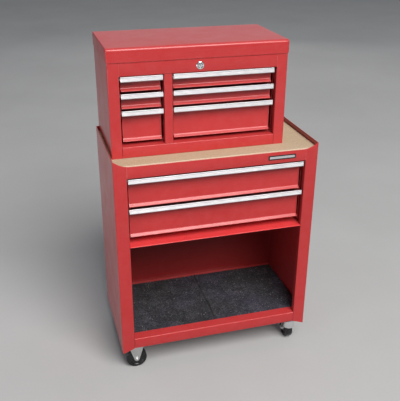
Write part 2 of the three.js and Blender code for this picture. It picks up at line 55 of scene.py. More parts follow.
HEM = 2.6
HEM_DROP = 7
HEM_STEPS = 5
BEND = 3
RETURN = 17
RECESS = 25
FACE_INSET = 3
LIP_FORWARD = 8
GAP = 0.3
GRID = 17
CORNER_GRID = 4
WAVE_LENGTH = 210
WAVE_MARGIN = 60
SMOOTH_ANGLE = math.radians(35)

CAB_WIDTH = 673
CAB_DEPTH = 358
CAB_FOOT = 84
FOOT_SLANT = 16
PULL_GAP = (2.7, 5.5)
CAB_LIP = 793
CAB_STILE = 42.5
CAB_OPEN_TOP = 735
CAB_RAIL_TOP = 774
CAB_INNER_BACK = CAB_DEPTH - 1.6
CAB_INNER_SIDE = 1.6
CAB_WAVES = 0.5
SCOOP_START = 3.6
SCOOP_RUN = 58
SCOOP_POWER = 2.2
DIVIDER_TOP = 498
DIVIDER_EDGE = 3
FLOOR_TOP = 138
APRON_BOTTOM = 100
BOARD_TOP = 776.7
BOARD_THICK = 5
BOARD_INSET = (3.2, 3)
BOARD_GRID = 11
MAT_SEAM = CAB_WIDTH / 2 + 6
MAT_SEAM_GAP = 0.4
MAT_SIDE = 4
MAT_DEPTH = (36, 338)
MAT_THICK = 3
MAT_GRID = 4
PLATE_X = (500, 594)
PLATE_Z = (748.5, 763.5)
CAB_DRAWERS = {"upper": (731, 631), "lower": (629.5, 525.5)}

PULL_FACE = 15.5
PULL_WALL = 1.5
PULL_VALLEY = 8
PULL_LEG = 15

CHEST_WIDTH = 566
CHEST_DEPTH = 282
CHEST_BASE = 777
CHEST_RIM = 1100
CHEST_STILE = 35
CHEST_MID = (170, 196)
CHEST_RAIL_TOP = 812
CHEST_OPEN_TOP = 1032
CHEST_DRAWERS = {"top": (1030, 982), "middle": (978.5, 928.5), "deep": (926, 824)}
CHEST_COLUMNS = {"left": (38.5, 166.5), "right": (199.5, 527.5)}
CHEST_PULLS = {"left": (38.5, 166.5), "right": (199.5, 523.5)}
CHEST_LEDGE = 52
CHEST_WAVES = 0.45

DRAWER_END = {"cabinet": 330, "chest": 262}
DRAWER_INSET = {"cabinet": 10, "chest": 6}
DRAWER_FLANGE = {"cabinet": 7, "chest": 5}
DRAWER_SIDE_DROP = 9.2
DRAWER_FLOOR_LIFT = 3

LID_OVER = 1.8
LID_SKIRT = 1074
LID_TOP = 1115
LID_ROUND = 9
LID_BACK_SKIRT = 1102.5
LOCK_X = 282
LOCK_Z = 1052
LOCK_HOLE = 10.3
HINGE_X = (34, 532)
HINGE_KNUCKLES = 7
HINGE_AXIS = (285.6, 1101)
HINGE_BARREL = 3
HINGE_BORE = 1.6
HINGE_SHEET = 1
HINGE_LEAVES = {"body": (1080, 1099), "lid": (1103.2, 1112)}
HINGE_BRIDGES = {"body": (1098, 1099.6), "lid": (1102.4, 1104)}
RIVET_ROWS = {"body": 1086, "lid": 1108}
RIVETS = 7

WHEEL_RADIUS = 36.5
PLATE_TOP = 95.7
PLATE_HALF = 30
BOLTS_AT = (-24, 24)
HOOD_TOP = 89.3
HOOD_FOOT = 57
HOOD_RADIUS = 22
HOOD_OPENING = math.radians(49)
FORK_SHEET = 2.3
FORK_EYE = 9
FORK_NECK = 33
FORK_HALF = 16.5
FORK_FOLD = 4
CASTER_TRAIL = 22
REAR_SWIVEL_TURN = math.radians(70)


def corner_of(node):
    """The front left foot of a case, in millimetres, at floor height."""
    low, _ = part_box(node)
    return Vector((low.x / MM, low.y / MM, 0))


CABINET = corner_of("cabinet_shell")
CHEST = corner_of("chest_shell")


# ---- lines and sections
def right_of(direction):
    return Vector((direction.y, -direction.x))


def rounded(line, radii, steps=4, closed=False):
    """The line with its corners turned into arcs; radii is one number or one per corner."""
    points = [Vector(p) for p in line]
    count = len(points)
    corners = range(count) if closed else range(1, count - 1)
    if not isinstance(radii, (list, tuple)):
        radii = [radii] * len(corners)
    result = [] if closed else [points[0]]
    for i, radius in zip(corners, radii):
        corner = points[i]
        back = points[i - 1] - corner
        on = points[(i + 1) % count] - corner
        turn = math.pi - back.angle(on)
        if turn < 0.03 or radius <= 0:
            result.append(corner)
            continue
        reach = min(radius * math.tan(turn / 2), 0.48 * back.length, 0.48 * on.length)
        radius = reach / math.tan(turn / 2)
        back.normalize()
        on.normalize()
        centre = corner + (back + on).normalized() * (radius / math.cos(turn / 2))
        spoke = corner + back * reach - centre
        side = 1 if back.cross(on) < 0 else -1
        for j in range(steps + 1):
            result.append(centre + Matrix.Rotation(side * turn * j / steps, 2) @ spoke)
    if not closed:
        result.append(points[-1])
    return result


def normals_of(line):
    """Mitred unit-distance steps to the right of each point of an open line."""
    result = []
    for i in range(len(line)):
        before = line[i] - line[i - 1] if i else line[1] - line[0]
        after = line[i + 1] - line[i] if i + 1 < len(line) else line[-1] - line[-2]
        both = right_of(before.normalized()) + right_of(after.normalized())
        result.append(both * (2 / both.length_squared))
    return result


def beside(line, distance):
    return [p + n * distance for p, n in zip(line, normals_of(line))]


def hemmed(line):
    """The line with its end folded back double, on its right."""
    direction = (line[-1] - line[-2]).normalized()
    side = right_of(direction)
    base = line[-1] - direction * (HEM / 2)
    centre = base + side * (HEM / 2)
    result = list(line[:-1]) + [base]
    for i in range(1, HEM_STEPS + 1):
        angle = math.pi * i / HEM_STEPS
        result.append(centre - side * (math.cos(angle) * HEM / 2) + direction * (math.sin(angle) * HEM / 2))
    result.append(result[-1] - direction * HEM_DROP)
    return result


def spread(low, high, step):
    count = max(1, math.ceil(abs(high - low) / step - TINY))
    return [low + (high - low) * i / count for i in range(count + 1)]


def subdivided(line, step):
    result = [line[0]]
    for before, after in zip(line, line[1:]):
        count = max(1, math.ceil((after - before).length / step - TINY))
        for i in range(1, count + 1):
            result.append(before.lerp(after, i / count))
    return result


# ---- forms: (vertices, faces) in millimetres
def loft(rings, folded=False):
    """Joins closed rings; the ends of a folded sheet are rows of quads, and other ends are one face."""
    count = len(rings[0])
    verts = [Vector(p) for ring in rings for p in ring]
    faces = []
    for i in range(len(rings) - 1):
        for j in range(count):
            k = (j + 1) % count
            faces.append((i * count + j, i * count + k, (i + 1) * count + k, (i + 1) * count + j))
    last = (len(rings) - 1) * count
    if folded:
        for j in range(count // 2 - 1):
            quad = (j, j + 1, count - 2 - j, count - 1 - j)
            faces.append(quad)
            faces.append(tuple(last + n for n in quad))
    else:
        faces.append(tuple(range(count)))
        faces.append(tuple(range(last, last + count)))
    return verts, faces


def x_run(x, p):
    return Vector((x, p.x, p.y))


def y_run(y, p):
    return Vector((p.x, y, p.y))


def z_run(z, p):
    return Vector((p.x, p.y, z))


def strip(section, stations, at):
    """A folded sheet; its outer line is on the left of its thickness."""
    rings = []
    for station in stations:
        outer = section(station) if callable(section) else section
        inner = beside(outer, SHEET)
        rings.append([at(station, p) for p in outer + inner[::-1]])
    return loft(rings, folded=True)


def bar(section, stations, at):
    return loft([[at(s, p) for p in section] for s in stations])


def slab(x, y, z):
    outline = [Vector(p) for p in ((x[0], y[0]), (x[1], y[0]), (x[1], y[1]), (x[0], y[1]))]
    return bar(outline, z, z_run)


def lathe(profile, steps=48, turn=math.tau, start=0.0, closed=False):
    """A profile of (radius, height) turned about z; closed joins its last point to its first."""
    full = turn > math.tau - TINY
    ring_count = steps if full else steps + 1
    rows, verts = [], []
    for radius, height in profile:
        if radius < TINY:
            rows.append([len(verts)] * ring_count)
            verts.append(Vector((0, 0, height)))
            continue
        rows.append(list(range(len(verts), len(verts) + ring_count)))
        for i in range(ring_count):
            angle = start + turn * i / steps
            verts.append(Vector((radius * math.cos(angle), radius * math.sin(angle), height)))
    pairs = list(zip(rows, rows[1:])) + ([(rows[-1], rows[0])] if closed else [])
    faces = []
    for low, high in pairs:
        for i in range(steps):
            j = (i + 1) % ring_count
            ring = [low[i], low[j], high[j], high[i]]
            face = tuple(n for k, n in enumerate(ring) if n != ring[k - 1])
            if len(face) > 2:
                faces.append(face)
    if not full:
        faces.append(tuple(row[0] for row in rows))
        faces.append(tuple(row[-1] for row in rows))
    return verts, faces


def placed(form, matrix):
    verts, faces = form
    return [matrix @ v for v in verts], faces


def moved(form, x=0, y=0, z=0):
    return placed(form, Matrix.Translation((x, y, z)))


LAY_ALONG_X = Matrix.Rotation(math.pi / 2, 4, "Y")
LAY_ALONG_Y = Matrix.Rotation(-math.pi / 2, 4, "X")


def joined(forms):
    verts, faces = [], []
    for some_verts, some_faces in forms:
        base = len(verts)
        verts += some_verts
        faces += [tuple(base + i for i in face) for face in some_faces]
    return verts, faces


def sway(point, size, seed):
    """A smooth number between about -1 and 1 that changes over a distance of about size."""
    return noise.noise(Vector(point) / size + Vector((seed * 7.3, seed * 3.1, seed * 1.7)))


# ---- pieces
def new_object(name, data):
    thing = bpy.data.objects.new(name, data)
    bpy.context.scene.collection.objects.link(thing)
    return thing


def mesh_object(name, form, origin, recalculate=True):
    verts, faces = form
    mesh = bpy.data.meshes.new(name)
    mesh.from_pydata([(v + origin) * MM for v in verts], [], faces)
    if recalculate:
        work = bmesh.new()
        work.from_mesh(mesh)
        bmesh.ops.recalc_face_normals(work, faces=work.faces)
        work.to_mesh(mesh)
        work.free()
    return new_object(name, mesh)


def settle(thing):
    """Turns a piece's modifiers into mesh."""
    bpy.context.view_layer.update()
    graph = bpy.context.evaluated_depsgraph_get()
    mesh = bpy.data.meshes.new_from_object(thing.evaluated_get(graph))
    thing.modifiers.clear()
    thing.data = mesh


def carve(thing, cutter):
    cut = thing.modifiers.new("cut", "BOOLEAN")
    cut.operation = "DIFFERENCE"
    cut.solver = "EXACT"
    cut.object = cutter
    settle(thing)
    bpy.data.objects.remove(cutter)


def thicken(thing):
    wall = thing.modifiers.new("sheet", "SOLIDIFY")
    wall.thickness = SHEET * MM
    wall.offset = -1
    wall.use_even_offset = True
    settle(thing)


def soften(thing, bevel):
    """Smooth shading with small rounded edges."""
    thing.data.shade_smooth()
    thing.data.set_sharp_from_angle(angle=SMOOTH_ANGLE)
    if bevel:
        edge = thing.modifiers.new("edges", "BEVEL")
        edge.width = bevel * MM
        edge.segments = 2
        edge.limit_method = "ANGLE"
        edge.angle_limit = SMOOTH_ANGLE
        edge.harden_normals = True


def finish_piece(thing, material, body, replaces=(), bevel=0.3):
    thing.data.materials.clear()
    thing.data.materials.append(material)
    soften(thing, bevel)
    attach(thing, body)
    if replaces:
        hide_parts(*replaces)


def piece(name, forms, origin, material, body, replaces=(), bevel=0.3):
    thing = mesh_object(name, joined(forms), origin)
    finish_piece(thing, material, body, replaces, bevel)
    return thing


# ---- material nodes
def feed(tree, socket, value):
    """Links a socket, or sets its value."""
    if isinstance(value, bpy.types.NodeSocket):
        tree.links.new(value, socket)
    else:
        socket.default_value = value


def add(tree, kind, settings=None, **inputs):
    node = tree.nodes.new(kind)
    for key, value in (settings or {}).items():
        setattr(node, key, value)
    for key, value in inputs.items():
        feed(tree, node.inputs[key.replace("_", " ")], value)
    return node


def colour_mix(tree, factor, first, second):
    node = tree.nodes.new("ShaderNodeMix")
    node.data_type = "RGBA"
    for index, value in ((0, factor), (6, first), (7, second)):
        feed(tree, node.inputs[index], (*value, 1) if isinstance(value, tuple) else value)
    return node.outputs[2]


def number(tree, operation, first, second):
    """A sum on two masks, kept between 0 and 1."""
    node = tree.nodes.new("ShaderNodeMath")
    node.operation = operation
    node.use_clamp = True
    for socket, value in zip(node.inputs, (first, second)):
        feed(tree, socket, value)
    return node.outputs[0]


def times(tree, first, second):
    return number(tree, "MULTIPLY", first, second)


def ranged(tree, value, low, high, to_low=0.0, to_high=1.0):
    node = add(tree, "ShaderNodeMapRange", Value=value, From_Min=low, From_Max=high,
               To_Min=to_low, To_Max=to_high)
    return node.outputs[0]


def coordinates(tree, stretch=(1, 1, 1)):
    where = tree.nodes.new("ShaderNodeTexCoord")
    if stretch == (1, 1, 1):
        return where.outputs["Object"]
    return add(tree, "ShaderNodeMapping", Vector=where.outputs["Object"], Scale=stretch).outputs[0]


def cloud(tree, scale, detail=3.0, rough=0.55, stretch=(1, 1, 1), bend=0.0):
    node = add(tree, "ShaderNodeTexNoise", Vector=coordinates(tree, stretch), Scale=scale, Detail=detail,
               Roughness=rough, Distortion=bend)
    return node.outputs[0]


def edge_mask(tree, radius, low=0.02, high=0.22):
    """1 on edges and corners, 0 on flat sheet; it carries wear and dust, and the painted edge highlights on
    enamel and board.
    """
    eased = add(tree, "ShaderNodeBevel", {"samples": 4}, Radius=radius * MM).outputs[0]
    flat = tree.nodes.new("ShaderNodeNewGeometry").outputs["Normal"]
    dot = add(tree, "ShaderNodeVectorMath", {"operation": "DOT_PRODUCT"})
    tree.links.new(eased, dot.inputs[0])
    tree.links.new(flat, dot.inputs[1])
    away = number(tree, "SUBTRACT", 1.0, dot.outputs["Value"])
    return ranged(tree, away, low, high)


def material(name, fill):
    made = bpy.data.materials.new(name)
    made.use_nodes = True
    tree = made.node_tree
    fill(tree, tree.nodes["Principled BSDF"])
    return made


def tinted(tree, colour, mask, amount, tone):
    """The colour, taken towards a tone by an amount where the mask is 1."""
    return colour_mix(tree, times(tree, mask, amount), colour, tone)


def fix(shader, **values):
    for key, value in values.items():
        shader.inputs[key.replace("_", " ")].default_value = value


def link(tree, source, shader, socket):
    tree.links.new(source, shader.inputs[socket])


def bump(tree, shader, height, strength, distance, normal=None):
    node = add(tree, "ShaderNodeBump", Height=height, Strength=strength, Distance=distance * MM)
    if normal is not None:
        tree.links.new(normal, node.inputs["Normal"])
    link(tree, node.outputs[0], shader, "Normal")
    return node.outputs[0]


def enamel(base, deep, faded, roughness, sheen_and_dust_amount):
    """Sprayed enamel: slow drift of colour, dust and a painted sheen on what faces up, scuffs, worn edges
    with a painted highlight, and orange peel.
    """

    def fill(tree, shader):
        drift = ranged(tree, cloud(tree, 2.6, 4), 0.35, 0.65)
        mottle = ranged(tree, cloud(tree, 38, 5, 0.6), 0.3, 0.75)
        colour = colour_mix(tree, drift, deep, base)
        colour = tinted(tree, colour, mottle, 0.22, faded)
        facing = tree.nodes.new("ShaderNodeTexCoord").outputs["Normal"]
        up = add(tree, "ShaderNodeSeparateXYZ", Vector=facing)
        upward = ranged(tree, up.outputs["Z"], 0.5, 0.95)
        specks = ranged(tree, cloud(tree, 420, 2, 0.5), 0.45, 0.8)
        dust_and_sheen_film = ranged(tree, cloud(tree, 9, 5, 0.65), 0.3, 0.8, 0.25, 1.0)
        dust = times(tree, times(tree, upward, dust_and_sheen_film), sheen_and_dust_amount)
        lying = times(tree, times(tree, upward, specks), 0.12)
        dust = number(tree, "ADD", dust, lying)
        # Upward faces are taken towards a pale pink. This is partly dust and partly a painted sheen that
        # lightens the tops, as light from above would.
        colour = colour_mix(tree, dust, colour, (0.74, 0.24, 0.23))
        streak = ranged(tree, cloud(tree, 7, 8, 0.7, (1, 1, 9), 0.6), 0.66, 0.74)
        colour = tinted(tree, colour, streak, 0.15, faded)
        edges = edge_mask(tree, 1.0)
        # Edges are taken towards a pale pink in patches. This is partly worn paint and partly a painted
        # highlight along edges and bends.
        patchy = ranged(tree, cloud(tree, 55, 4, 0.6), 0.40, 0.58)
        worn_and_highlit = times(tree, edges, patchy)
        colour = tinted(tree, colour, worn_and_highlit, 0.8, (0.95, 0.42, 0.38))
        chips = times(tree, edges, ranged(tree, cloud(tree, 160, 3, 0.6), 0.66, 0.70))
        colour = tinted(tree, colour, chips, 0.8, (0.16, 0.09, 0.08))
        link(tree, colour, shader, "Base Color")
        dull = ranged(tree, cloud(tree, 12, 2, 0.5), 0.3, 0.7, roughness - 0.02, roughness + 0.06)
        dull = number(tree, "ADD", dull, times(tree, dust, 0.5))
        link(tree, dull, shader, "Roughness")
        fix(shader, Metallic=0.0, Specular_IOR_Level=0.4, Coat_Weight=0.3, Coat_Roughness=0.12)
        dents = bump(tree, shader, cloud(tree, 26, 2), 0.25, 0.5)
        bump(tree, shader, cloud(tree, 700, 2), 0.12, 0.12, dents)

    return fill


def metal(base, tint, roughness, spread_by, stretch, grain):
    """Bare or plated metal with drawn or random grain, dull patches and bright edges."""

    def fill(tree, shader):
        lines = cloud(tree, grain, 3, 0.6, stretch)
        patches = ranged(tree, cloud(tree, 24, 5, 0.65), 0.35, 0.7)
        colour = colour_mix(tree, times(tree, patches, 0.55), base, tint)
        colour = colour_mix(tree, ranged(tree, lines, 0.3, 0.7, 0, 0.35), colour, tint)
        edges = times(tree, edge_mask(tree, 0.5), 0.3)
        colour = colour_mix(tree, edges, colour, tuple(min(1, c * 1.25) for c in base))
        link(tree, colour, shader, "Base Color")
        fix(shader, Metallic=1.0)
        rough = ranged(tree, lines, 0.25, 0.75, roughness - spread_by, roughness + spread_by)
        rough = number(tree, "ADD", rough, times(tree, patches, spread_by))
        link(tree, rough, shader, "Roughness")
        bump(tree, shader, lines, 0.10, 0.08)

    return fill


def board_fill(tree, shader):
    """Pressed board: fine light and dark fibres, faint stains, and a pale painted highlight along its bruised
    edges.
    """
    fibres = cloud(tree, 240, 5, 0.7, (1, 1.6, 1), 0.8)
    blotch = ranged(tree, cloud(tree, 11, 6, 0.65), 0.3, 0.72)
    colour = colour_mix(tree, ranged(tree, fibres, 0.32, 0.70), (0.43, 0.30, 0.17), (0.66, 0.52, 0.35))
    colour = tinted(tree, colour, blotch, 0.35, (0.58, 0.49, 0.38))
    stain = ranged(tree, cloud(tree, 6, 4, 0.6, bend=1.0), 0.60, 0.72)
    colour = tinted(tree, colour, stain, 0.25, (0.26, 0.18, 0.11))
    flecks = ranged(tree, cloud(tree, 620, 2), 0.66, 0.72)
    colour = tinted(tree, colour, flecks, 0.4, (0.20, 0.13, 0.08))
    # Edges are taken towards a pale peach: a painted highlight along the board's rims.
    colour = colour_mix(tree, edge_mask(tree, 3.6, 0.005, 0.06), colour, (1.0, 0.76, 0.64))
    link(tree, colour, shader, "Base Color")
    link(tree, ranged(tree, fibres, 0.2, 0.8, 0.68, 0.9), shader, "Roughness")
    bump(tree, shader, fibres, 0.35, 0.35)


def felt_fill(tree, shader):
    """Matted felt: dark grey with a cold cast, felted patches, stray threads and pale lint."""
    fibres = cloud(tree, 520, 4, 0.7, (1, 1.5, 1), 1.6)
    patches = ranged(tree, cloud(tree, 16, 7, 0.75), 0.35, 0.68)
    colour = colour_mix(tree, patches, (0.004, 0.004, 0.005), (0.021, 0.021, 0.026))
    cast = ranged(tree, cloud(tree, 5, 3), 0.42, 0.62)
    colour = tinted(tree, colour, cast, 0.6, (0.030, 0.026, 0.060))
    tufts = ranged(tree, cloud(tree, 150, 5, 0.75), 0.46, 0.64)
    colour = tinted(tree, colour, tufts, 0.6, (0.085, 0.085, 0.100))
    wander = cloud(tree, 55, 3, 0.6, (1, 1.4, 1), 2.0)
    rising = ranged(tree, wander, 0.485, 0.5)
    threads = times(tree, rising, ranged(tree, wander, 0.5, 0.515, 1, 0))
    threads = times(tree, threads, ranged(tree, cloud(tree, 20, 4), 0.48, 0.60))
    colour = tinted(tree, colour, threads, 0.8, (0.30, 0.30, 0.33))
    cells = add(tree, "ShaderNodeTexVoronoi", Vector=coordinates(tree), Scale=150, Randomness=1.0)
    lint = ranged(tree, cells.outputs["Distance"], 0.12, 0.24, 1, 0)
    lint = times(tree, lint, ranged(tree, cloud(tree, 34, 4, 0.7), 0.50, 0.58))
    colour = colour_mix(tree, lint, colour, (0.42, 0.42, 0.42))
    link(tree, colour, shader, "Base Color")
    link(tree, ranged(tree, fibres, 0.2, 0.8, 0.82, 0.98), shader, "Roughness")
    fix(shader, Sheen_Weight=0.05, Sheen_Roughness=0.5)
    tangle = bump(tree, shader, number(tree, "ADD", tufts, threads), 0.7, 1.2)
    bump(tree, shader, fibres, 0.8, 0.9, tangle)


def plastic(base, pale, roughness, dust_colour):
    """Moulded rubber or plastic: faint mottling, dust in patches and along its edges."""

    def fill(tree, shader):
        mottle = ranged(tree, cloud(tree, 75, 5, 0.65), 0.3, 0.75)
        colour = colour_mix(tree, mottle, base, pale)
        dust = ranged(tree, cloud(tree, 30, 6, 0.7), 0.48, 0.72)
        colour = tinted(tree, colour, dust, 0.35, dust_colour)
        colour = tinted(tree, colour, edge_mask(tree, 0.8), 0.4, dust_colour)
        link(tree, colour, shader, "Base Color")
        link(tree, ranged(tree, mottle, 0, 1, roughness - 0.08, roughness + 0.15), shader, "Roughness")
        bump(tree, shader, cloud(tree, 900, 3), 0.2, 0.15)

    return fill


def floor_fill(tree, shader):
    """A pale, dull studio floor with a fine speckle."""
    speckle = cloud(tree, 120, 6, 0.7)
    blotch = ranged(tree, cloud(tree, 1.3, 4), 0.3, 0.7)
    colour = colour_mix(tree, blotch, (0.50, 0.50, 0.495), (0.55, 0.55, 0.545))
    colour = colour_mix(tree, ranged(tree, speckle, 0.3, 0.7, 0, 0.25), colour, (0.46, 0.46, 0.45))
    link(tree, colour, shader, "Base Color")
    fix(shader, Roughness=0.9)
    bump(tree, shader, speckle, 0.2, 1.0)


RED = material("red_enamel", enamel(
    base=(0.57, 0.032, 0.034), deep=(0.53, 0.027, 0.028), faded=(0.66, 0.11, 0.11),
    roughness=0.30, sheen_and_dust_amount=0.06))
# A darker copy of the red enamel that paints the shade inside the cases and on the pieces seen only in there.
RED_PAINTED_SHADE = material("painted_shade_enamel", enamel(
    base=(0.33, 0.020, 0.020), deep=(0.28, 0.016, 0.016), faded=(0.36, 0.05, 0.045),
    roughness=0.42, sheen_and_dust_amount=0.1))
# A brighter copy of the red enamel that paints light onto the divider shelf's ledge.
RED_PAINTED_LIT = material("painted_lit_enamel", enamel(
    base=(0.86, 0.05, 0.055), deep=(0.80, 0.045, 0.05), faded=(0.86, 0.12, 0.11),
    roughness=0.26, sheen_and_dust_amount=0.02))
ALUMINIUM = material("drawn_aluminium", metal(
    base=(0.80, 0.78, 0.78), tint=(0.62, 0.61, 0.66),
    roughness=0.44, spread_by=0.06, stretch=(0.02, 1, 1), grain=900))
ZINC = material("zinc_plate", metal(
    base=(0.66, 0.67, 0.68), tint=(0.48, 0.47, 0.44),
    roughness=0.36, spread_by=0.08, stretch=(1, 1, 1), grain=260))
CHROME = material("chrome_plate", metal(
    base=(0.80, 0.81, 0.83), tint=(0.66, 0.66, 0.66),
    roughness=0.13, spread_by=0.05, stretch=(1, 1, 1), grain=120))
STEEL = material("bare_steel", metal(
    base=(0.46, 0.47, 0.48), tint=(0.30, 0.29, 0.28),
    roughness=0.42, spread_by=0.08, stretch=(1, 0.05, 1), grain=400))
BOARD = material("pressed_board", board_fill)
FELT = material("grey_felt", felt_fill)
BLACK = material("black_moulding", plastic(
    base=(0.004, 0.004, 0.005), pale=(0.009, 0.009, 0.010), roughness=0.28, dust_colour=(0.06, 0.06, 0.06)))
FLOOR = material("studio_floor", floor_fill)


# ---- sheet-metal cases
def scoop_height(x):
    """Height of the cabinet's front top edge, which dips between its corners."""
    reach = min(x, CAB_WIDTH - x)
    share = min(1, max(0, (reach - SCOOP_START) / (SCOOP_RUN - SCOOP_START)))
    return CAB_RAIL_TOP + (CAB_LIP - CAB_RAIL_TOP) * (1 - share) ** SCOOP_POWER


def wrapped_case(width, depth, low, open_top, stile, rim, waves, slant=0):
    """Side panels, back and front stiles folded from one sheet, as its outer surface."""
    right = width - stile
    plan = [(stile, RETURN), (stile, 0), (0, 0), (0, depth),
            (width, depth), (width, 0), (right, 0), (right, RETURN)]
    corners = rounded(plan, BEND)
    first = next(i for i, p in enumerate(corners) if p.y < TINY)
    line = subdivided(corners[: first + 1], GRID)
    start = len(line) - 1
    line += subdivided(corners[first: first + 2], CORNER_GRID)[1:]
    line += subdivided(corners[first + 1: -(first + 1)], GRID)[1:]
    line += subdivided(corners[-(first + 2):], CORNER_GRID)[1:]
    stop = max(i for i, p in enumerate(line) if p.y < TINY and p.x > right)
    normals = normals_of(line)
    verts, faces, index = [], [], {}

    def put(column, row, plan_point, normal, inset, z):
        index[column, row] = len(verts)
        spot = plan_point + normal * inset
        verts.append(Vector((spot.x, spot.y, z)))

    def wave(spot, normal, z):
        """How far the sheet bulges: nothing on the front, at the rims and near a side's folds."""
        if spot.y <= BEND:
            return 0
        calm = min(1, max(0, 1 - abs(2 * (z - low) / (rim(width, depth) - low) - 1)))
        if normal.y == 0:
            calm *= min(1, max(0, min(spot.y - BEND, depth - BEND - spot.y) / WAVE_MARGIN))
        return waves * calm * sway((spot.x, spot.y, z), WAVE_LENGTH, width)

    lower = spread(low, open_top, GRID)
    for column, (spot, normal) in enumerate(zip(line, normals)):
        corner = min(1, min(spot.x, width - spot.x) / stile) if spot.y <= RETURN else 0
        for row, z in enumerate([low + slant * corner] + lower[1:]):
            put(column, row, spot, normal, -wave(spot, normal, z), z)
    columns = [("left", Vector((stile, 0)), Vector((0, 1)))]
    columns += [(i, line[i], normals[i]) for i in range(start, stop + 1)]
    columns += [("right", Vector((right, 0)), Vector((0, 1)))]
    base = len(lower) - 1
    for column, spot, normal in columns:
        top = rim(spot.x, spot.y)
        heights = [open_top + (top - HEM / 2 - open_top) * i / 4 for i in range(5)]
        profile = [(0, z) for z in heights]
        for i in range(1, HEM_STEPS + 1):
            angle = math.pi * i / HEM_STEPS
            profile.append((HEM / 2 * (1 - math.cos(angle)), top - HEM / 2 + HEM / 2 * math.sin(angle)))
        profile.append((HEM, top - HEM / 2 - HEM_DROP))
        for row, (inset, z) in enumerate(profile):
            if row == 0 and column not in ("left", "right"):
                continue
            put(column, base + row, spot, normal, inset, z)

    def skin(names, rows):
        for one, two in zip(names, names[1:]):
            for row in rows:
                faces.append((index[one, row], index[one, row + 1], index[two, row + 1], index[two, row]))

    skin(list(range(len(line))), range(base))
    skin([name for name, _, _ in columns], range(base, base + len(profile) - 1))
    return verts, faces


def make_case(name, origin, sizes, body):
    """A case's wrapped sheet; where it faces the middle of the case it takes a darker red that paints the
    shade inside the case.
    """
    form = wrapped_case(*sizes)
    thing = mesh_object(name + "_panels", form, origin, recalculate=False)
    thicken(thing)
    finish_piece(thing, RED, body, [name], bevel=0.25)
    thing.data.materials.append(RED_PAINTED_SHADE)
    axis = (origin + Vector((sizes[0] / 2, sizes[1] / 2, 0))) * MM
    # Faces that look into the case take the darker red copy: painted shade.
    for face in thing.data.polygons:
        inward = (axis - face.center) * Vector((1, 1, 0))
        if face.normal.dot(inward.normalized()) > 0.3:
            face.material_index = 1


def make_cabinet_shell():
    def rim(x, y):
        return scoop_height(x) if y < BEND - TINY and BEND <= x <= CAB_WIDTH - BEND else CAB_LIP

    sizes = (CAB_WIDTH, CAB_DEPTH, CAB_FOOT, CAB_OPEN_TOP - GAP, CAB_STILE, rim, CAB_WAVES, FOOT_SLANT)
    make_case("cabinet_shell", CABINET, sizes, "cabinet")


def make_chest_shell():
    def rim(x, y):
        return CHEST_RIM

    sizes = (CHEST_WIDTH, CHEST_DEPTH, CHEST_BASE, CHEST_OPEN_TOP - GAP, CHEST_STILE, rim, CHEST_WAVES)
    make_case("chest_shell", CHEST, sizes, "chest")


def make_cabinet_rails():
    x0 = CAB_STILE + GAP
    x1 = CAB_WIDTH - x0
    run = spread(x0, SCOOP_RUN, CORNER_GRID)[:-1] + spread(SCOOP_RUN, CAB_WIDTH - SCOOP_RUN, GRID)
    run += spread(CAB_WIDTH - SCOOP_RUN, x1, CORNER_GRID)[1:]

    def top_section(x):
        return hemmed(rounded([(15, CAB_OPEN_TOP), (0, CAB_OPEN_TOP), (0, scoop_height(x))], 2))

    def pan(name, line, radii, top, finish, node):
        """A level pan folded down at the front, with wings that reach behind the stiles."""
        sheet = strip(rounded(line, radii), spread(x0, x1, 40), x_run)
        wings = [slab(x, (RETURN + GAP, CAB_INNER_BACK), (top - SHEET, top))
                 for x in ((CAB_INNER_SIDE, x0), (x1, CAB_WIDTH - CAB_INNER_SIDE))]
        piece(name, [sheet, *wings], CABINET, finish, "cabinet", [node])

    piece("cabinet_top_rail_sheet", [strip(top_section, run, x_run)], CABINET, RED, "cabinet",
          ["cabinet_top_rail"])
    edge = DIVIDER_TOP - DIVIDER_EDGE
    shelf = [(5, edge), (0, edge), (0, DIVIDER_TOP), (CAB_INNER_BACK, DIVIDER_TOP)]
    # The shelf takes the lighter red copy, as painted light on its ledge.
    pan("cabinet_divider_shelf", shelf, 1.4, DIVIDER_TOP, RED_PAINTED_LIT, "cabinet_divider_pan")
    apron = [(12, APRON_BOTTOM), (0, APRON_BOTTOM), (0, FLOOR_TOP), (CAB_INNER_BACK, FLOOR_TOP)]
    pan("cabinet_floor_and_apron", apron, [1.6, 2.2], FLOOR_TOP, RED, "cabinet_floor_pan")


def make_chest_rails():
    x0 = CHEST_STILE + GAP
    x1 = CHEST_WIDTH - x0
    run = spread(x0, x1, 20)
    top = hemmed(rounded([(14, CHEST_OPEN_TOP), (0, CHEST_OPEN_TOP), (0, CHEST_RIM)], 2))
    thing = mesh_object("chest_top_rail_sheet", strip(top, run, x_run), CHEST)
    hole = placed(lathe([(0, -9), (LOCK_HOLE, -9), (LOCK_HOLE, 9), (0, 9)], 40), LAY_ALONG_Y)
    cutter = mesh_object("hole", moved(hole, LOCK_X, 0, LOCK_Z), CHEST)
    carve(thing, cutter)
    finish_piece(thing, RED, "chest", ["chest_top_rail"])
    line = [(14, CHEST_BASE), (0, CHEST_BASE), (0, CHEST_RAIL_TOP), (CHEST_LEDGE, CHEST_RAIL_TOP)]
    piece("chest_bottom_rail_sheet", [strip(rounded(line, [1.6, 2.2]), run, x_run)], CHEST, RED, "chest",
          ["chest_bottom_rail"])
    left, right = CHEST_MID
    plan = rounded([(right, RETURN), (right, 0), (left, 0), (left, RETURN)], 2)
    height = spread(CHEST_RAIL_TOP + GAP, CHEST_OPEN_TOP - GAP, 20)
    piece("chest_centre_stile_sheet", [strip(plan, height, z_run)], CHEST, RED, "chest",
          ["chest_centre_stile"])


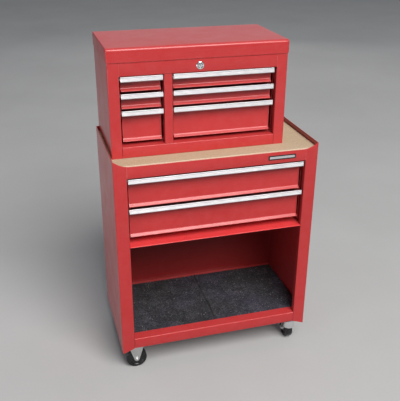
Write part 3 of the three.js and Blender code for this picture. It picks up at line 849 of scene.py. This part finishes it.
# ---- drawers
def pull_section(top):
    """Extruded pull: a ribbed front wall standing above and below its web, and a leg on the drawer front."""
    foot = top - PULL_FACE
    web = top - PULL_VALLEY
    leg = RECESS - GAP
    front = [(3.2, top - 0.3), (2.8, top), (1.9, top), (1.3, top - 0.7), (1.2, top - 2.0)]
    for depth in (3.6, 6.8, 10.0):
        y = 1.2 - 0.8 * (depth - 2) / 11.4
        front += [(y, top - depth), (y + 0.55, top - depth - 0.45), (y + 0.5, top - depth - 1.15),
                  (y - 0.13, top - depth - 1.6)]
    front += [(0.4, foot + 2.1), (0.9, foot + 0.5), (2.3, foot)]
    toe = [(6.2, foot), (6.2, foot + PULL_WALL), (2.6, foot + PULL_WALL), (2.3, foot + 2.5)]
    rest = [(2.6, web - PULL_WALL), (leg - PULL_WALL, web - PULL_WALL), (leg - PULL_WALL, top - PULL_LEG),
            (leg, top - PULL_LEG), (leg, web), (3.2, web)]
    return rounded(front + toe + rest, 0.3, 2, closed=True)


def drawer_front(pull, top, bottom):
    """The painted front with its lip and folded ends."""
    lip = RECESS - LIP_FORWARD
    left, right = pull[0] + FACE_INSET, pull[1] - FACE_INSET
    face_top = top - PULL_VALLEY - PULL_WALL
    line = [(lip + 5, bottom), (lip, bottom), (lip, bottom + 1.5), (RECESS, bottom + 9), (RECESS, face_top)]
    face = strip(rounded(line, [1.2, 1.6, 8], 5), spread(left, right, 24), x_run)
    folds = ((left, left + SHEET), (right - SHEET, right))
    returns = [slab(x, (RECESS + 0.6, RECESS + 3), (bottom + 10, face_top - 1)) for x in folds]
    return [face, *returns]


def drawer_tray(x0, x1, top, bottom, case):
    """The pan behind the front: sides with flanges for the channels, a floor and a back."""
    end = DRAWER_END[case]
    left, right = x0 + DRAWER_INSET[case], x1 - DRAWER_INSET[case]
    flange = DRAWER_FLANGE[case]
    side_top = top - DRAWER_SIDE_DROP
    base = bottom + DRAWER_FLOOR_LIFT
    floor = base + SHEET
    line = [(left - flange, side_top), (left + SHEET, side_top), (left + SHEET, floor),
            (right - SHEET, floor), (right - SHEET, side_top), (right + flange, side_top)]
    tray = strip(rounded(line, [1.6, 2, 2, 1.6]), spread(RECESS + 0.6, end - 0.6, 30), y_run)
    back_line = [Vector((end - SHEET, base)), Vector((end - SHEET, side_top))]
    return [tray, strip(back_line, spread(left, right, 30), x_run)]


def make_drawer(case, name, x, pull, top, bottom, origin):
    forms = drawer_front(pull, top, bottom) + drawer_tray(*x, top, bottom, case)
    piece(name + "_body", forms, origin, RED, name, [name], bevel=0.22)
    extrusion = bar(pull_section(top), spread(*pull, 60), x_run)
    piece(name + "_pull_extrusion", [extrusion], origin, ALUMINIUM, name,
          [name + "_pull"], bevel=0.2)


def make_drawers():
    x = (CAB_STILE + PULL_GAP[0], CAB_WIDTH - CAB_STILE - PULL_GAP[1])
    for row, (top, bottom) in CAB_DRAWERS.items():
        make_drawer("cabinet", "cabinet_drawer_" + row, x, x, top, bottom, CABINET)
    for column, x in CHEST_COLUMNS.items():
        for row, (top, bottom) in CHEST_DRAWERS.items():
            name = f"chest_drawer_{column}_{row}"
            make_drawer("chest", name, x, CHEST_PULLS[column], top, bottom, CHEST)


# ---- lid, hinge and lock
def lid_section(inset, low):
    """The lid's outer line from the front skirt's edge over the top and down the back."""
    y0 = inset - LID_OVER
    y1 = CHEST_DEPTH - inset
    top = LID_TOP - inset
    line = [(y0, low), (y0, top), (y1, top), (y1, LID_BACK_SKIRT)]
    arcs = rounded(line, [max(LID_ROUND - inset, 0.02), max(BEND - inset, 0.02)], 7)
    top_line = [arcs[8].lerp(arcs[9], i / 16) for i in range(1, 16)]
    rise = [arcs[0].lerp(arcs[1], i / 3) for i in range(1, 3)]
    return [arcs[0], *rise, *arcs[1:9], *top_line, *arcs[9:]]


def crown_lid(point, across):
    """Domes the lid's top and bellies its front skirt; across is 0 at its left end and 1 at its right."""
    deep = (point.y + LID_OVER) / (CHEST_DEPTH + LID_OVER)
    calm = max(0, 1 - abs(2 * across - 1) ** 3) * max(0, 1 - abs(2 * deep - 1) ** 3)
    if point.z > LID_TOP - 0.1:
        point.z += calm * (0.9 + 0.5 * sway(point, 190, 5))
    fold = LID_TOP - LID_ROUND
    if point.y < -LID_OVER + 0.1 and point.z < fold and 0.02 < across < 0.98:
        belly = 0.6 + 0.6 * sway((point.x, 0, 0), 48, 9)
        point.y -= belly * ((fold - point.z) / (fold - LID_SKIRT))


def make_lid():
    x0, x1 = -LID_OVER, CHEST_WIDTH + LID_OVER
    fold = [math.pi / 2 * i / 5 for i in range(6)]
    stations = [(x0 + BEND * (1 - math.cos(a)), BEND * (1 - math.sin(a))) for a in fold]
    stations += [(x, 0) for x in spread(x0 + BEND, x1 - BEND, GRID)[1:-1]]
    stations += [(x0 + x1 - x, inset) for x, inset in reversed(stations[:6])]
    rings = []
    for x, inset in stations:
        low = LID_SKIRT + 0.9 * sway((x, 0, 0), 45, 3)
        ring = [x_run(x, p) for p in lid_section(inset, low)]
        for point in ring:
            crown_lid(point, (x - x0) / (x1 - x0))
        rings.append(ring)
    count = len(rings[0])
    verts = [p for ring in rings for p in ring]
    faces = []
    for i in range(len(rings) - 1):
        for j in range(count - 1):
            a = i * count + j
            faces.append((a, a + count, a + count + 1, a + 1))
    for i, ring in ((0, rings[0]), (len(rings) - 1, rings[-1])):
        corner = len(verts)
        verts.append(Vector((ring[0].x, ring[-1].y, LID_SKIRT)))
        cap = [i * count + j for j in range(count)] + [corner]
        faces.append(tuple(cap) if i == 0 else tuple(reversed(cap)))
    thing = mesh_object("lid_pressing", (verts, faces), CHEST, recalculate=False)
    thicken(thing)
    finish_piece(thing, RED, "lid", ["lid"], bevel=0.25)


def make_hinge():
    """Piano hinge: each leaf has every second knuckle, a bridge behind it and a row of rivets."""
    y, z = HINGE_AXIS
    x0, x1 = HINGE_X
    pitch = (x1 - x0) / HINGE_KNUCKLES
    face = (CHEST_DEPTH + GAP, CHEST_DEPTH + GAP + HINGE_SHEET)
    rivet = placed(lathe([(0, 0), (3.2, 0), (3, 0.9), (1.8, 1.6), (0, 1.8)], 20), LAY_ALONG_Y)
    for first, (side, body) in enumerate((("body", "chest"), ("lid", "lid"))):
        name = "hinge_leaf_" + side
        forms = [slab(HINGE_X, face, HINGE_LEAVES[side])]
        for i in range(first, HINGE_KNUCKLES, 2):
            span = (x0 + pitch * i + GAP, x0 + pitch * (i + 1) - GAP)
            length = span[1] - span[0]
            tube = lathe([(HINGE_BORE, 0), (HINGE_BARREL, 0), (HINGE_BARREL, length), (HINGE_BORE, length)],
                         24, closed=True)
            forms.append(moved(placed(tube, LAY_ALONG_X), span[0], y, z))
            forms.append(slab(span, (face[0], y - HINGE_BORE), HINGE_BRIDGES[side]))
        for i in range(RIVETS):
            along = x0 + (x1 - x0) * (i + 0.5) / RIVETS
            forms.append(moved(rivet, along, face[1] - 0.2, RIVET_ROWS[side]))
        piece(name + "_rolled", forms, CHEST, ZINC, body, [name], bevel=0.2)


def make_lock():
    def in_lock(form):
        return moved(placed(form, LAY_ALONG_Y), LOCK_X, 0, LOCK_Z)

    bezel = [(7.3, -1.9), (7.9, -2.7), (9.4, -3.0), (11.2, -2.5), (12.3, -1.4), (12.6, -GAP),
             (10, -GAP), (10, 9.5), (7.3, 9.5)]
    piece("lock_bezel", [in_lock(lathe(bezel, 56, closed=True))], CHEST, CHROME, "chest",
          ["lock_housing"], bevel=0.15)
    plug = [(0, -2.3), (5.6, -2.3), (6.6, -2.0), (7, -1.3), (7, 9.7), (4, 9.7), (4, 13), (0, 13)]
    thing = mesh_object("lock_plug_turned", in_lock(lathe(plug, 48)), CHEST)
    slot_form = slab((LOCK_X - 0.9, LOCK_X + 0.9), (-8, 4), (LOCK_Z - 4.2, LOCK_Z + 4.2))
    carve(thing, mesh_object("keyway", slot_form, CHEST))
    finish_piece(thing, CHROME, "lock", ["lock_plug"], bevel=0.12)


# ---- tray board, mats and plate
def sheet_block(x, y, z, radius, step, height):
    """A flat piece with rounded rims, as a grid on top and below; height(x, y) lifts its top."""

    def rows_of(span):
        rows = [span[0] + radius * t for t in (0, 0.3, 1)]
        rows += spread(span[0] + radius, span[1] - radius, step)[1:-1]
        return rows + [span[1] - radius * t for t in (1, 0.3, 0)]

    xs = rows_of(x)
    ys = rows_of(y)

    def fall(value, span):
        inside = min(value - span[0], span[1] - value)
        share = min(1, max(0, inside / radius))
        return radius * (1 - math.sqrt(1 - (1 - share) ** 2))

    verts, faces = [], []
    for level in (1, 0):
        for px in xs:
            for py in ys:
                edge = min(radius, fall(px, x) + fall(py, y)) * 0.9
                top = z[1] - edge + height(px, py)
                verts.append(Vector((px, py, top if level else z[0])))
    rows = len(ys)
    size = len(xs) * rows
    for i in range(len(xs) - 1):
        for j in range(rows - 1):
            a = i * rows + j
            faces.append((a, a + rows, a + rows + 1, a + 1))
            faces.append((size + a, size + a + 1, size + a + rows + 1, size + a + rows))
    border = [i * rows for i in range(len(xs))]
    border += [(len(xs) - 1) * rows + j for j in range(1, rows)]
    border += [i * rows + rows - 1 for i in range(len(xs) - 2, -1, -1)]
    border += list(range(rows - 2, 0, -1))
    for a, b in zip(border, border[1:] + border[:1]):
        faces.append((a, b, size + b, size + a))
    return verts, faces


def make_board():
    def ragged(px, py):
        """Bruised front edge and a slight warp."""
        near = max(0, 1 - (py - BOARD_INSET[1]) / 5)
        return -near * max(0, 1.1 * sway((px, py, 0), 9, 2)) + 0.15 * sway((px, py, 0), 120, 4)

    x = (BOARD_INSET[0], CAB_WIDTH - BOARD_INSET[0])
    y = (BOARD_INSET[1], CAB_DEPTH - BOARD_INSET[1])
    form = sheet_block(x, y, (BOARD_TOP - BOARD_THICK, BOARD_TOP - 0.15), 1.2, BOARD_GRID, ragged)
    piece("tray_board_panel", [form], CABINET, BOARD, "cabinet", ["cabinet_top_board"],
          bevel=0)


def make_mats():
    base = FLOOR_TOP + GAP
    mats = (("left", (MAT_SIDE, MAT_SEAM - MAT_SEAM_GAP), 11),
            ("right", (MAT_SEAM + MAT_SEAM_GAP, CAB_WIDTH - MAT_SIDE), 23))
    for side, x, seed in mats:

        def rumple(px, py, seed=seed):
            """Slow swells, a raised welt on each side of the seam and a fine pucker."""
            swell = 0.9 * sway((px, py, 0), 75, seed) + 0.5 * sway((px, py, 0), 22, seed + 1)
            welt = max(0, 1 - abs(abs(px - MAT_SEAM) - 7) / 6)
            return swell + welt * 3.2 + 0.5 * sway((px, py, 0), 7, seed + 2)

        form = sheet_block(x, MAT_DEPTH, (base, base + MAT_THICK), 1.4, MAT_GRID, rumple)
        thing = piece(f"felt_mat_{side}", [form], CABINET, FELT, "cabinet",
                      [f"cabinet_mat_{side}"], bevel=0)


def make_plate():
    """Blank name plate: a black back with a light inlay."""

    def plate(shrink, y_front, y_back, radius):
        left, right = PLATE_X[0] + shrink, PLATE_X[1] - shrink
        low, high = PLATE_Z[0] + shrink, PLATE_Z[1] - shrink
        outline = [(left, low), (right, low), (right, high), (left, high)]
        return bar(rounded(outline, radius, 5, closed=True), (y_front, y_back), y_run)

    piece("name_plate_back", [plate(0, -1.3, -GAP, 2.5)], CABINET, BLACK, "cabinet",
          ["name_plate"], bevel=0.25)
    piece("name_plate_inlay", [plate(3.8, -1.7, -1.2, 1.4)], CABINET, ALUMINIUM, "cabinet",
          bevel=0.15)


# ---- casters
def wheel_form():
    """A wheel's hub, web and tyre, turned about its axle."""
    side = [(4.3, 13), (9.2, 13), (10.3, 12.4), (11.2, 9.6), (12.4, 9), (23.6, 9), (24.8, 9.4), (26.2, 11.6),
            (27, 12), (29.2, 12), (29.6, 11.3), (30.6, 11.3), (31, 12), (33.2, 12), (34.9, 11.4), (36, 10.1),
            (WHEEL_RADIUS, 8.2), (WHEEL_RADIUS, 0)]
    lower = [(r, -h) for r, h in side[:-1]]
    return lathe(side + lower[::-1], 72, closed=True)


def hex_form(radius, low, high):
    """A bolt head or nut with chamfered ends."""
    return lathe([(0, low), (radius * 0.9, low), (radius, low + 0.8),
                  (radius, high - 0.8), (radius * 0.9, high), (0, high)], 6)


def axle_form():
    washer = [(4, 0), (8.2, 0), (8.2, 1.1), (4, 1.1)]
    return [
        lathe([(0, -20.5), (3.2, -20.5), (4, -19.7), (4, 21.4), (3.2, 22.2), (0, 22.2)], 24),
        hex_form(7, -22.4, -17.7),
        hex_form(6.6, 17.9, 21),
        moved(lathe(washer, 28, closed=True), z=-18.0),
        moved(lathe(washer, 28, closed=True), z=16.8),
    ]


def leg_strip(half_width, line):
    """A stamped strap; line is its outer line in y and z, and half_width(point) is its reach along x."""
    rings = []
    for outer, under in zip(line, beside(line, FORK_SHEET)):
        w = half_width(outer)
        rings.append([Vector((-w, outer.x, outer.y)), Vector((w, outer.x, outer.y)),
                      Vector((w, under.x, under.y)), Vector((-w, under.x, under.y))])
    return loft(rings)


def rigid_fork_form():
    """A strap bent over the wheel: round ends at the axle, widening to a plate under the base channel."""
    y, top, low = FORK_HALF, PLATE_TOP, WHEEL_RADIUS - FORK_EYE + 0.4
    legs = spread(low, FORK_NECK, 1.6) + spread(FORK_NECK, top, 8)[1:]
    corners = rounded([(-y, low), (-y, top), (y, top), (y, low)], FORK_FOLD, 5)
    rise = [Vector((-y, z)) for z in legs if z < corners[1].y - 0.5]
    fall = [Vector((y, z)) for z in reversed(legs) if z < corners[1].y - 0.5]
    line = rise + corners[1:-1] + fall

    def half_width(point):
        """Round at the axle, then widening up to the plate."""
        above = point.y - FORK_NECK - 0.1
        if above < 0:
            return math.sqrt(max(0.8, FORK_EYE ** 2 - (point.y - WHEEL_RADIUS) ** 2))
        if abs(point.x) < y - FORK_FOLD:
            return PLATE_HALF + 1
        return 8.4 + 19.6 * above / (top - FORK_NECK - 0.1) + 3 * max(0, (point.y - top + 6) / 6)

    bolts = [moved(hex_form(4.6, -5.2, -2.4), bx, by, top) for bx in BOLTS_AT for by in (-8, 8)]
    return [leg_strip(half_width, line), *bolts]


def swivel_plate_form():
    """A bolted top plate with the ball race and the king pin under it."""
    top, half = PLATE_TOP, PLATE_HALF
    outline = rounded([(-half, -half), (half, -half), (half, half), (-half, half)], 6, 5, closed=True)
    race = [(0, top - 6), (20, top - 6), (22.4, top - 5.5), (23.8, top - 4.1), (24, top - 2.4),
            (24.6, top - 2.1), (0, top - 2.1)]
    bolts = [moved(hex_form(4.8, -6, -2.2), bx, by, top) for bx in BOLTS_AT for by in BOLTS_AT]
    return [
        bar(outline, (top - 2.3, top), z_run),
        lathe(race, 48),
        lathe([(0, top - 13.2), (4.4, top - 13.2), (5, top - 12.5), (5, top - 4), (0, top - 4)], 24),
        hex_form(8, top - 15.1, top - 10.1),
        *bolts,
    ]


def swivel_fork_form():
    """A pressed hood that is open behind, with two legs that reach down to the trailing axle."""
    top, wide = HOOD_TOP, HOOD_RADIUS
    outer = [(wide - 1, top - 2.5), (wide, top - 5.3), (wide, HOOD_FOOT)]
    inner = [(wide - 1.6, HOOD_FOOT), (wide - 1.6, top - 5.9), (wide - 2.6, top - 3.9)]
    skirt = lathe(outer + inner, 40, math.pi + 2 * HOOD_OPENING, -math.pi - HOOD_OPENING, closed=True)
    cap = lathe([(0, top - 2.7), (17.2, top - 2.7), (19.6, top - 3.7), (21, top - 2.5), (18.6, top - 0.7),
                 (15, top), (0, top)], 48)
    centre = Vector((CASTER_TRAIL, WHEEL_RADIUS))
    angles = [math.radians(a) for a in range(215, 400, 12)]
    tail = [centre + 9.5 * Vector((math.cos(a), math.sin(a))) for a in angles]
    outline = [Vector((-12, top - 1.3)), Vector((-13, 62)), *tail, Vector((16, top - 1.3))]
    legs = [bar(outline, (x, x + FORK_SHEET), x_run) for x in (-16.8, 14.5)]
    return [skirt, cap, *legs]


def stand_under(node):
    """A frame on the floor under the middle of a CAD node."""
    low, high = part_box(node)
    at = (low + high) / 2 / MM
    return Matrix.Translation((at.x, at.y, 0))


def put_at(matrix, name, forms, finish, body, node, bevel):
    piece(name, [placed(form, matrix) for form in forms], Vector(), finish, body, [node], bevel)


def make_wheel(place, axle, axle_body):
    """A wheel that spins and the bolt that it spins on."""
    put_at(axle, f"caster_wheel_{place}", [wheel_form()], BLACK, f"wheel_{place}",
           f"wheel_{place}", 0)
    put_at(axle, f"axle_bolt_{place}", axle_form(), ZINC, axle_body, f"axle_{place}", 0.2)


def make_rigid_caster(place):
    spot = stand_under(f"rigid_fork_{place}")
    axle = spot @ Matrix.Translation((0, 0, WHEEL_RADIUS)) @ Matrix.Rotation(math.pi / 2, 4, "X")
    put_at(spot, f"rigid_bracket_{place}", rigid_fork_form(), ZINC, "cabinet",
           f"rigid_fork_{place}", 0.35)
    make_wheel(place, axle, "cabinet")


def make_swivel_caster(place, turn):
    spot = stand_under(f"swivel_plate_{place}")
    turned = spot @ Matrix.Rotation(turn, 4, "Z")
    axle = turned @ Matrix.Translation((0, CASTER_TRAIL, WHEEL_RADIUS)) @ Matrix.Rotation(math.pi / 2, 4, "Y")
    put_at(spot, f"swivel_top_{place}", swivel_plate_form(), ZINC, "cabinet",
           f"swivel_plate_{place}", 0.3)
    put_at(turned, f"swivel_yoke_{place}", swivel_fork_form(), CHROME, f"swivel_{place}",
           f"swivel_fork_{place}", 0.35)
    make_wheel(place, axle, f"swivel_{place}")


def make_casters():
    for end, turn in (("front", 0), ("rear", REAR_SWIVEL_TURN)):
        make_rigid_caster(f"{end}_left")
        make_swivel_caster(f"{end}_right", turn)


# ---- inner CAD pieces that stay
def dress_cad():
    """Gives the CAD pieces that are seen only inside their materials."""
    inner = ["cabinet_top_pan", "chest_bottom_pan", "chest_till_floor", "chest_divider"]
    inner += [f"{name}_{side}" for name in ("base_channel", "cabinet_slide", "chest_slide")
              for side in ("left", "right")]
    # The inner sheets, pans, slides and channels take the darker red copy as painted shade.
    finishes = {
        "painted_inner": (RED_PAINTED_SHADE, inner),
        "steel": (STEEL, ["hinge_pin"]),
        "zinc_plate": (ZINC, ["lock_cam", "lid_catch"]),
    }
    for slot, (finish, names) in finishes.items():
        for name in names:
            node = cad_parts[name]
            node.data.materials.clear()
            node.data.materials.append(finish)
            soften(node, 0.2)


# ---- stage: camera and lamps in metres
CAMERA_AT = (-0.5699, -1.9247, 1.4948)
CAMERA_YAW = 0.2821
CAMERA_PITCH = 0.4414
CAMERA_ROLL = 0.0052
CAMERA_LENS = 56.67
LIGHT_AIM = Vector((0, 0, 0.6))
FLOOR_REACH = 30e3
SKY_COLOUR = (0.80, 0.86, 0.95, 1)
LAMPS = (
    ("key", (1.30, -6.10, 7.07), 6.2, 960, (1.0, 0.985, 0.965)),
    ("back_glow", (1.5, 4.5, 2.6), 5.0, 15, (1.0, 0.95, 0.95)),
    ("left_fill", (-3.6, -1.5, 0.3), 2.0, 48, (1.0, 0.86, 0.97)),
)


def make_floor():
    corners = ((-1, -1), (1, -1), (1, 1), (-1, 1))
    verts = [Vector((x * FLOOR_REACH, y * FLOOR_REACH, 0)) for x, y in corners]
    floor = mesh_object("floor", (verts, [(0, 1, 2, 3)]), Vector())
    floor.data.materials.append(FLOOR)
    floor.visible_diffuse = False


def make_sky():
    """A faint sky that is darker at the horizon than overhead."""
    world = bpy.data.worlds.new("soft_sky")
    world.use_nodes = True
    tree = world.node_tree
    background = tree.nodes["Background"]
    where = tree.nodes.new("ShaderNodeTexCoord").outputs["Generated"]
    up = add(tree, "ShaderNodeSeparateXYZ", Vector=where).outputs["Z"]
    glow = ranged(tree, up, -0.05, 0.02, 0.04, 0.20)
    background.inputs["Color"].default_value = SKY_COLOUR
    tree.links.new(glow, background.inputs["Strength"])
    bpy.context.scene.world = world


def make_lamps():
    for name, spot, size, power, colour in LAMPS:
        lamp = bpy.data.lights.new(name, "AREA")
        lamp.shape = "DISK"
        lamp.size = size
        lamp.energy = power
        lamp.color = colour
        holder = new_object(name, lamp)
        holder.location = spot
        holder.rotation_euler = (LIGHT_AIM - Vector(spot)).to_track_quat("-Z", "Y").to_euler()


def make_camera():
    scene = bpy.context.scene
    camera = bpy.data.cameras.new("camera")
    camera.lens = CAMERA_LENS
    eye = new_object("camera", camera)
    yaw = Matrix.Rotation(-CAMERA_YAW, 4, "Z")
    pitch = Matrix.Rotation(math.pi / 2 - CAMERA_PITCH, 4, "X")
    roll = Matrix.Rotation(CAMERA_ROLL, 4, "Z")
    eye.matrix_world = Matrix.Translation(CAMERA_AT) @ yaw @ pitch @ roll
    scene.camera = eye
    scene.view_settings.view_transform = "Standard"


make_floor()
make_sky()
make_lamps()
make_camera()
make_cabinet_shell()
make_cabinet_rails()
make_chest_shell()
make_chest_rails()
make_drawers()
make_lid()
make_hinge()
make_lock()
make_board()
make_mats()
make_plate()
make_casters()
dress_cad()
